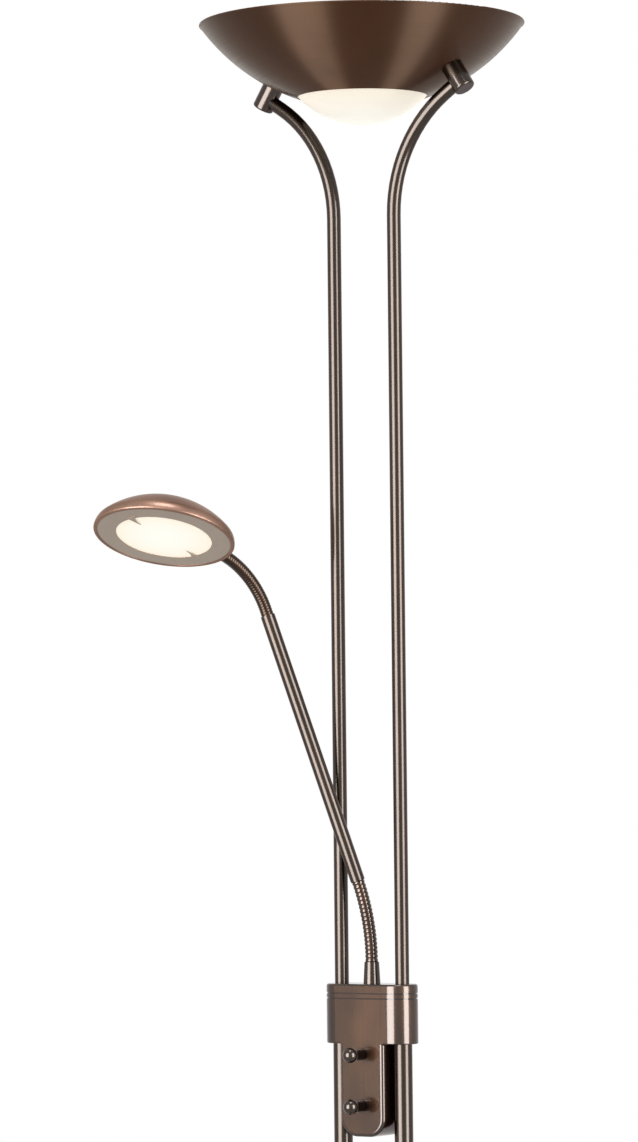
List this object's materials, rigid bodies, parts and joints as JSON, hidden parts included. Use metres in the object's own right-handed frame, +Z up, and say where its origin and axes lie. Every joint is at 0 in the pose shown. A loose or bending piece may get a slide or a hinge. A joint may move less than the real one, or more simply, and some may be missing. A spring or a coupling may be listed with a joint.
{
  "type": "torchiere floor lamp with reading light",
  "caption": "Uplighter floor lamp: shallow bowl on twin poles, switch housing with ball knobs, and a flexible arm that carries a small reading head.",
  "frame": {"origin": "centre of the base's underside, on the floor", "axes": "+X along the pair of poles, -Y towards the two ball knobs, +Z up"},
  "size_m": [0.3082, 0.3436, 1.8],
  "materials": {
    "bronze": "antique bronze satin lacquer",
    "neck_metal": "bronzed ribbed tube",
    "satin_ring": "satin",
    "frosted_glass": "frosted",
    "clear_glass": "clear",
    "ceramic": "unglazed ceramic",
    "cast_weight": "raw",
    "plated_steel": "zinc plated",
    "shaft_brass": "turned",
    "reflector_metal": "bright",
    "black_plastic": "moulded",
    "pad_rubber": "matt"
  },
  "bodies": {
    "stand": {"base_cover": "bronze", "base_pad": "pad_rubber", "base_plate": "plated_steel", "base_plate_screws": "plated_steel", "base_weight": "cast_weight", "bowl": "bronze", "bowl_glass": "frosted_glass", "bowl_nipples": "plated_steel", "bowl_nuts": "plated_steel", "bowl_washers": "plated_steel", "cord_gland": "black_plastic", "dimmer_lower": "black_plastic", "dimmer_nuts": "bronze", "dimmer_upper": "black_plastic", "foot_flange": "bronze", "guard_clips": "plated_steel", "guard_glass": "clear_glass", "halogen_tube": "clear_glass", "housing_back": "bronze", "housing_back_screws": "plated_steel", "housing_lid": "bronze", "knuckle_left": "bronze", "knuckle_right": "bronze", "lamp_bridge": "plated_steel", "lamp_holders": "ceramic", "lower_pole_left": "bronze", "lower_pole_right": "bronze", "pole_couplers": "plated_steel", "pole_nuts": "plated_steel", "pole_studs": "plated_steel", "pole_washers": "plated_steel", "switch_housing": "bronze", "terminal_block": "black_plastic", "tube_caps": "ceramic", "upper_pole_left": "bronze", "upper_pole_right": "bronze"},
    "knob_upper": {"knob_upper": "bronze", "shaft_upper": "shaft_brass"},
    "knob_lower": {"knob_lower": "bronze", "shaft_lower": "shaft_brass"},
    "arm_mount": {"arm_ferrule": "bronze", "ferrule_nut": "plated_steel", "lower_neck": "neck_metal"},
    "arm": {"arm_tube": "bronze", "tube_bushes": "plated_steel"},
    "neck": {"upper_neck": "neck_metal"},
    "neck_end": {"head_socket": "bronze", "head_nut": "plated_steel"},
    "head": {"head_shell": "bronze", "head_ring": "satin_ring", "head_glass": "frosted_glass", "head_glass_clips": "satin_ring", "head_yoke": "plated_steel", "head_reflector": "reflector_metal", "head_bracket": "plated_steel", "head_lamp_holder": "ceramic", "capsule_lamp": "clear_glass", "head_screws": "plated_steel"}
  },
  "joints": [
    {"name": "knob_upper_turn", "type": "hinge", "parent": "stand", "child": "knob_upper", "pos_m": [0, -0.0335, 0.9142], "axis": [0, -1, 0], "range_deg": [0, 270]},
    {"name": "knob_lower_turn", "type": "hinge", "parent": "stand", "child": "knob_lower", "pos_m": [0, -0.0335, 0.8704], "axis": [0, -1, 0], "range_deg": [0, 270]},
    {"name": "arm_swivel", "type": "hinge", "parent": "stand", "child": "arm_mount", "pos_m": [0, 0, 0.974], "axis": [0, 0, 1], "range_deg": [-5, 75]},
    {"name": "lower_neck_bend", "type": "hinge", "parent": "arm_mount", "child": "arm", "pos_m": [0, 0, 1.02805], "axis": [0.5736, -0.8192, 0], "range_deg": [-10, 30], "deforming": ["lower_neck"]},
    {"name": "upper_neck_swing", "type": "hinge", "parent": "arm", "child": "neck", "pos_m": [-0.07063, -0.04945, 1.29029], "axis": [-0.2558, -0.1791, 0.95], "range_deg": [-15, 25]},
    {"name": "upper_neck_bend", "type": "hinge", "parent": "neck", "child": "neck_end", "pos_m": [-0.08171, -0.05721, 1.33143], "axis": [0.9531, -0.2111, 0.2169], "range_deg": [-20, 25], "deforming": ["upper_neck"]},
    {"name": "head_turn", "type": "hinge", "parent": "neck_end", "child": "head", "pos_m": [-0.09226, -0.09174, 1.34421], "axis": [-0.2756, -0.9015, 0.3338], "range_deg": [-45, 45]}
  ]
}
